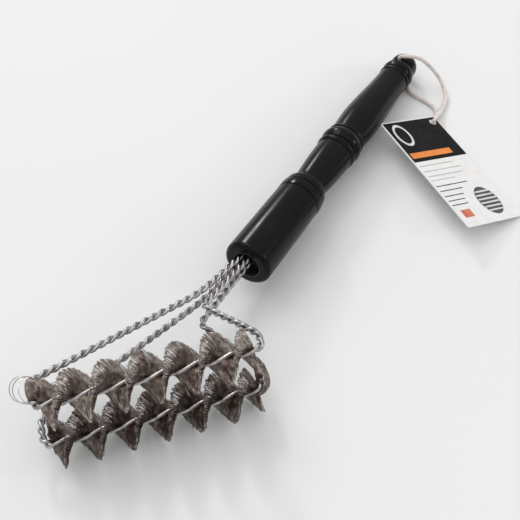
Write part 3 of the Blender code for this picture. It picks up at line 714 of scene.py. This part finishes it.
def wire_offset(loop, s):
    """Distance of each wire's centre from the strand's: opened by the fill along the row."""
    closed = WIRE_RADIUS + WIRE_TOUCH
    opened = WIRE_RADIUS + FILL_WEB / 2 + CLEARANCE
    blend = min(ease((s - loop.row_start + COIL_END_TAPER) / COIL_END_TAPER),
                ease((loop.row_stop + COIL_END_TAPER - s) / COIL_END_TAPER))
    return closed + (opened - closed) * blend


def make_wire(name, loop, phase, mat, node):
    """One stem wire, wound left-handed about the loop's centre line."""
    line = []
    steps = round(loop.total / WIRE_STEP)
    for k in range(steps + 1):
        s = loop.total * k / steps
        point, _, side, rise = loop.at(s)
        angle = loop.twist(s, phase)
        out = side * math.cos(angle) + rise * math.sin(angle)
        line.append(point + out * wire_offset(loop, s))
    bm = bmesh.new()
    tube(bm, line, WIRE_RADIUS, WIRE_SIDES)
    add_object(name, finished_mesh(name, bm, mat, BRUSH), "brush", "stem_wire", node)


# ---- coil of fine wire ----------------------------------------------------------------------
def coil_line(loop, phase, start, stop, turns, radius_at, dice):
    """One wire wound as a squeezed coil: pinched between the stem wires, bulging outside them."""
    reach = [dice.uniform(COIL_SHORTEST, 1.0) for _ in range(2 * turns + 2)]
    drift = [dice.gauss(0.0, COIL_SCATTER) for _ in range(2 * turns + 2)]
    bulge = [dice.uniform(COIL_SLIMMEST, 1.0) for _ in range(2 * turns + 2)]
    line = []
    for k in range(turns * COIL_STEPS + 1):
        turn = k / COIL_STEPS
        tip = int(2 * turn + 0.5)
        s = start + (stop - start) * turn / turns
        point, tangent, side, rise = loop.at(s)
        angle = loop.twist(s, phase) + math.pi / 2
        out = side * math.cos(angle) + rise * math.sin(angle)
        flat = rise * math.cos(angle) - side * math.sin(angle)
        around = math.tau * turn
        u = radius_at(s) * reach[tip] * math.cos(around)
        open_out = ease((abs(u) - COIL_WEB_REACH) / (COIL_RADIUS * COIL_OPEN_SHARE))
        width = COIL_WEB / 2 + COIL_BULGE * bulge[tip] * open_out
        v = width * math.copysign(abs(math.sin(around)) ** COIL_ROUNDING, math.sin(around))
        spoke = out * u + flat * v
        share = (u / COIL_RADIUS) ** 2
        lift = spoke.normalized().z if spoke.length > 0.0 else 0.0
        rake = (FILL_RAKE + FILL_TILT * lift) * share
        line.append(point + spoke + tangent * (drift[tip] * share - rake))
    return line


def between_turns(sizes, turn):
    """The size at this point of a coil, going evenly from one whole turn's to the next one's."""
    whole = int(turn)
    return sizes[whole] + (sizes[whole + 1] - sizes[whole]) * (turn - whole)


def wrapped_line(loop, start, stop, turns, radii, dice):
    """The same wire drawn out round a bare strand, in slanting turns off to one side of it."""
    sizes = [dice.uniform(*TAIL_COIL_SIZES) for _ in range(turns + 2)]
    line = []
    for k in range(turns * COIL_STEPS + 1):
        turn = k / COIL_STEPS
        way = turn / turns
        point, tangent, side, rise = loop.at(start + (stop - start) * way)
        radius = (radii[0] + (radii[1] - radii[0]) * way) * between_turns(sizes, turn)
        u = radius * math.cos(math.tau * turn)
        v = radius * math.sin(math.tau * turn)
        offset = side * (TAIL_COIL_OFFSET * (1.0 - way))
        line.append(point + offset + side * u + rise * v + tangent * (TAIL_SHEAR * v))
    return line


def add_coil(name, lines, wire_radius, mat, node):
    """One object of fine wire along each of the lines."""
    bm = bmesh.new()
    for line in lines:
        tube(bm, line, wire_radius, COIL_WIRE_SIDES)
    add_object(name, finished_mesh(name, bm, mat, BRUSH), "brush", "fine_wire", node)


def make_coil(name, loop, phase, mat, node, seed, with_tail):
    """The coil of one row; the lower one runs on, drawn out, up the bend behind its row."""
    dice = random.Random(seed)

    def row_radius(s):
        front = ease((s - loop.row_start) / COIL_END_TAPER)
        rear = ease((loop.row_stop - s) / COIL_END_TAPER)
        return min(COIL_FRONT_RADIUS + (COIL_RADIUS - COIL_FRONT_RADIUS) * front,
                   COIL_REAR_RADIUS + (COIL_RADIUS - COIL_REAR_RADIUS) * rear)

    lines = [coil_line(loop, phase, loop.row_start, loop.row_stop, COIL_TURNS, row_radius, dice)]
    if with_tail:
        lines.append(wrapped_line(loop, loop.row_stop, loop.row_stop + TAIL_COIL_LENGTH,
                                  TAIL_COIL_TURNS, (TAIL_COIL_RADIUS, TAIL_COIL_END_RADIUS), dice))
    add_coil(name, lines, COIL_WIRE_RADIUS, mat, node)


def make_loose_turns(name, first_turn, last_turn, mat, node):
    """End of the upper coil: tight round turns that pass the tip bend, then sprung ones.

    The middle of the turns runs from the row to the sprung end, and their axis leans over.
    """
    dice = random.Random(LOOSE_SEED)
    turns = TIGHT_TURNS + SPRUNG_TURNS
    front = Vector((*ROW_FRONT, 0.0))
    first, last = [front + ROW_ALONG * along + ROW_ACROSS * across + UP * height
                   for along, across, height in (LOOSE_START, LOOSE_PLACE)]
    leaning = -(UP * math.cos(LOOSE_LEAN) - ROW_ACROSS * math.sin(LOOSE_LEAN))
    sizes = [dice.uniform(*LOOSE_SIZES) for _ in range(turns + 2)]
    line = []
    for k in range(LOOSE_STEPS * first_turn, LOOSE_STEPS * last_turn + 1):
        turn = k / LOOSE_STEPS
        tight = min(turn / TIGHT_TURNS, 1.0)
        sprung = max(turn - TIGHT_TURNS, 0.0) / SPRUNG_TURNS
        way = (1.0 - SPRUNG_SHARE) * tight + SPRUNG_SHARE * sprung
        centre = first.lerp(last, way)
        axis = (-ROW_ALONG).lerp(leaning, ease(way) * 0.5 + sprung * 0.5).normalized()
        up = axis.cross(ROW_ACROSS).normalized()
        level = up.cross(axis).normalized()
        opening = (LOOSE_RING_RADIUS - LOOSE_START_RADIUS) * ease(LOOSE_OPENING * way)
        radius = (LOOSE_START_RADIUS + opening) * between_turns(sizes, turn)
        angle = math.tau * turn
        line.append(centre + (level * math.cos(angle) + up * math.sin(angle)) * radius)
    add_coil(name, [line], LOOSE_WIRE_RADIUS, mat, node)


# ---- hang cord ------------------------------------------------------------------------------
def smooth_route(points, count):
    """Evenly spaced points on a Catmull-Rom curve through the route's points."""
    knots = [2 * points[0] - points[1], *points, 2 * points[-1] - points[-2]]
    dense = []
    for a, b, c, d in zip(knots, knots[1:], knots[2:], knots[3:]):
        for i in range(ROUTE_STEPS):
            t = i / ROUTE_STEPS
            dense.append(0.5 * (2 * b + (c - a) * t + (2 * a - 5 * b + 4 * c - d) * t * t
                                + (3 * b - a - 3 * c + d) * t ** 3))
    dense.append(points[-1])
    length = [0.0]
    for a, b in zip(dense, dense[1:]):
        length.append(length[-1] + (b - a).length)
    even = []
    index = 0
    for i in range(count):
        target = length[-1] * i / (count - 1)
        while index < len(length) - 2 and length[index + 1] < target:
            index += 1
        span = length[index + 1] - length[index]
        even.append(dense[index].lerp(dense[index + 1], (target - length[index]) / span))
    return even, length[-1]


def make_cord(mat):
    """A three-strand laid cord, from the upper mouth of the cross hole round to the lower one."""
    stops = [HOLE + Vector(p) for p in CORD_OVER_BALL]
    stops += [Vector((HOLE.x + x, HOLE.y + y, height)) for x, y, height in CORD_ON_TABLE]
    stops += [HOLE + Vector(p) for p in CORD_INTO_HOLE]
    route, length = smooth_route(stops, CORD_POINTS)
    step = length / (CORD_POINTS - 1)

    def laid(index, angle):
        lay = angle - math.tau * index * step / CORD_LAY
        valley = 1.0 - abs(math.cos(lay * CORD_STRANDS / 2))
        return CORD_DIAMETER / 2 - CORD_GROOVE * valley ** 2

    bm = bmesh.new()
    tube(bm, route, laid, CORD_SIDES)
    mesh = finished_mesh("laid_cord", bm, mat, smooth_angle=CORD_SMOOTH_ANGLE)
    cord = add_object("laid_cord", mesh, "cord", "cord", "hang_cord")


# ---- print on the tag, in millimetres from the tag's hole -----------------------------------
def bar(x0, x1, y0, y1):
    return [(x0, y0), (x1, y0), (x1, y1), (x0, y1)]


def oval(middle, half, steps=40):
    return [(middle[0] + half[0] * math.cos(math.tau * i / steps),
             middle[1] + half[1] * math.sin(math.tau * i / steps))
            for i in range(steps)]


def text_bars(lines):
    """One bar for each line of text, from the text's side of the card to where the line ends."""
    return [bar(x - TEXT_HALF_WIDTH, x + TEXT_HALF_WIDTH, TEXT_SIDE, end) for x, end in lines]


def header_outline():
    """The header with its hole, as one outline that goes in and out by a slit."""
    top = -TAG_HOLE_FROM_TOP * 1000 + HEADER_TOP_EDGE
    near = (TAG_HOLE_FROM_SIDE - TAG_WIDTH) * 1000 + HEADER_SIDE_EDGE
    far = TAG_HOLE_FROM_SIDE * 1000
    hole = TAG_HOLE_RADIUS * 1000
    keyhole = []
    for i in range(KEYHOLE_SIDES + 1):
        angle = math.tau * i / KEYHOLE_SIDES
        keyhole.append((hole * math.sin(angle), hole * math.cos(angle)))
    return [(top, near), (HEADER_END, near), (HEADER_END, far), (HEADER_SLIT, far), *keyhole,
            (0.0, far), (top, far)]


def picture_stripes():
    stripes = []
    for i in range(STRIPES):
        x = STRIPE_START + STRIPE_PITCH * i
        across = (x + STRIPE_MIDDLE - PICTURE_PLACE[0]) / PICTURE_HALF[0]
        half = STRIPE_REACH * math.sqrt(max(0.0, 1.0 - across ** 2))
        stripes.append(bar(x, x + STRIPE_WIDTH, PICTURE_PLACE[1] - half, PICTURE_PLACE[1] + half))
    return stripes


def make_print(name, outlines, mat, layer=1):
    """Flat patches of ink just above the card."""
    bm = bmesh.new()
    height = TAG_THICKNESS / 2 + PRINT_RISE * layer
    for outline in outlines:
        bm.faces.new([bm.verts.new((x / 1000, y / 1000, height)) for x, y in outline])
    mesh = finished_mesh(name, bm, mat, TAG)
    add_object(name, mesh, "tag", "card")


def make_tag_print():
    ink = paper("black_ink", (0.007, 0.006, 0.007), (0.015, 0.014, 0.014), 0.35)
    grey = paper("grey_ink", (0.44, 0.43, 0.43), (0.56, 0.55, 0.54))
    dark = paper("dark_grey_ink", (0.07, 0.065, 0.065), (0.13, 0.12, 0.12))
    orange = paper("orange_ink", (0.72, 0.22, 0.05), (0.84, 0.30, 0.08))
    red = paper("red_ink", (0.50, 0.14, 0.09), (0.66, 0.22, 0.15))
    pale = paper("pale_ink", (0.56, 0.56, 0.57), (0.74, 0.74, 0.75))
    make_print("tag_header", [header_outline()], ink)
    make_print("tag_ring", [oval(EMBLEM_PLACE, EMBLEM_OUTSIDE)], pale, 2)
    make_print("tag_ring_middle", [oval(EMBLEM_PLACE, EMBLEM_INSIDE)], ink, 3)
    make_print("tag_title_bar", [bar(*TITLE_BAR)], orange, 2)
    make_print("tag_text_bars", text_bars(TEXT_LINES), grey)
    make_print("tag_note_bars", text_bars(NOTE_LINES), dark)
    make_print("tag_square", [bar(*SQUARE)], red)
    make_print("tag_picture", [oval(PICTURE_PLACE, PICTURE_HALF)], dark)
    make_print("tag_picture_bars", picture_stripes(), pale, 2)


# ---- stage ----------------------------------------------------------------------------------
def make_camera():
    data = bpy.data.cameras.new("camera")
    data.lens = CAMERA_LENS
    data.sensor_width = SENSOR_WIDTH
    camera = bpy.data.objects.new("camera", data)
    camera.location = (HOLE.x + CAMERA_FROM_HOLE[0], HOLE.y + CAMERA_FROM_HOLE[1], CAMERA_HEIGHT)
    camera.rotation_euler = [math.radians(angle) for angle in CAMERA_TURN]
    bpy.context.scene.collection.objects.link(camera)
    bpy.context.scene.camera = camera


def make_floor():
    bm = bmesh.new()
    bmesh.ops.create_grid(bm, x_segments=1, y_segments=1, size=FLOOR_SIZE / 2)
    mesh = finished_mesh("floor", bm, floor_paint(), Matrix.Translation((0.0, 0.0, -FLOOR_DROP)))
    floor = bpy.data.objects.new("floor", mesh)
    bpy.context.scene.collection.objects.link(floor)


def softbox(name, place, size, power):
    """A square area light that faces the middle of the brush."""
    data = bpy.data.lights.new(name, "AREA")
    data.shape = "SQUARE"
    data.size = size
    data.energy = power
    light = bpy.data.objects.new(name, data)
    light.location = place
    light.rotation_euler = (-Vector(place)).to_track_quat("-Z", "Y").to_euler()
    bpy.context.scene.collection.objects.link(light)


def make_light():
    """An even sky that brightens upwards, a wide key light and the softboxes."""
    world = bpy.data.worlds.new("studio")
    world.use_nodes = True
    nodes = world.node_tree.nodes
    links = world.node_tree.links
    split = nodes.new("ShaderNodeSeparateXYZ")
    links.new(nodes.new("ShaderNodeTexCoord").outputs["Generated"], split.inputs["Vector"])
    rise = nodes.new("ShaderNodeMapRange")
    rise.inputs["To Min"].default_value = SKY_LOW
    rise.inputs["To Max"].default_value = SKY_HIGH
    links.new(split.outputs["Z"], rise.inputs["Value"])
    links.new(rise.outputs["Result"], nodes["Background"].inputs["Strength"])
    nodes["Background"].inputs["Color"].default_value = (1.0, 1.0, 1.0, 1.0)
    bpy.context.scene.world = world
    bpy.context.scene.view_settings.view_transform = "Standard"
    data = bpy.data.lights.new("key", "SUN")
    data.energy = KEY_POWER
    data.angle = KEY_ANGLE
    key = bpy.data.objects.new("key", data)
    key.rotation_euler = (-Vector(KEY_FROM)).to_track_quat("-Z", "Y").to_euler()
    bpy.context.scene.collection.objects.link(key)
    for name, place, size, power in SOFTBOXES:
        softbox(name, place, size, power)


# ---- build ----------------------------------------------------------------------------------
make_camera()
make_cord(cotton())
make_floor()
make_light()
make_handle(lacquer())
steel = stem_steel()
# Lit and shaded copies of one fine-wire steel: the upper row's is painted light, the lower row's painted shade.
fine = {"upper": coil_steel("upper_wire_steel_painted_lit", *UPPER_COIL_LIT_COLOURS),
        "lower": coil_steel("lower_wire_steel_painted_shade", *LOWER_COIL_SHADED_COLOURS)}
# The sprung turns get a third copy of the fine-wire steel, painted brighter as a painted highlight.
bright = coil_steel("sprung_wire_steel_painted_highlight", *SPRUNG_HIGHLIGHT_COLOURS)
for label, loop, phase, seed in (
        ("upper", Loop(1, JUNCTION_UPPER, TAIL_UPPER), UPPER_PHASE, UPPER_SEED),
        ("lower", Loop(-1, JUNCTION_LOWER, TAIL_LOWER), LOWER_PHASE, LOWER_SEED)):
    make_wire(label + "_wire_a", loop, phase, steel, label + "_stem_wire_a")
    make_wire(label + "_wire_b", loop, phase + math.pi, steel, label + "_stem_wire_b")
    make_coil(label + "_coil", loop, phase, fine[label], label + "_row_fill", seed, label == "lower")
make_loose_turns("tight_turns", 0, TIGHT_TURNS, fine["upper"], "upper_fill_loose_end")
make_loose_turns("sprung_turns", TIGHT_TURNS, TIGHT_TURNS + SPRUNG_TURNS, bright,
                 "upper_fill_loose_end")
make_tag_print()
for node, look in (("bore_sleeve", plastic("sleeve_plastic", 0.030)),
                   ("bore_filler", plastic("filler_plastic", 0.022)),
                   ("hang_tag", paper("card", (0.78, 0.77, 0.76), (0.84, 0.83, 0.82)))):
    frame["nodes"][node].data.materials.clear()
    frame["nodes"][node].data.materials.append(look)

bpy.context.view_layer.update()
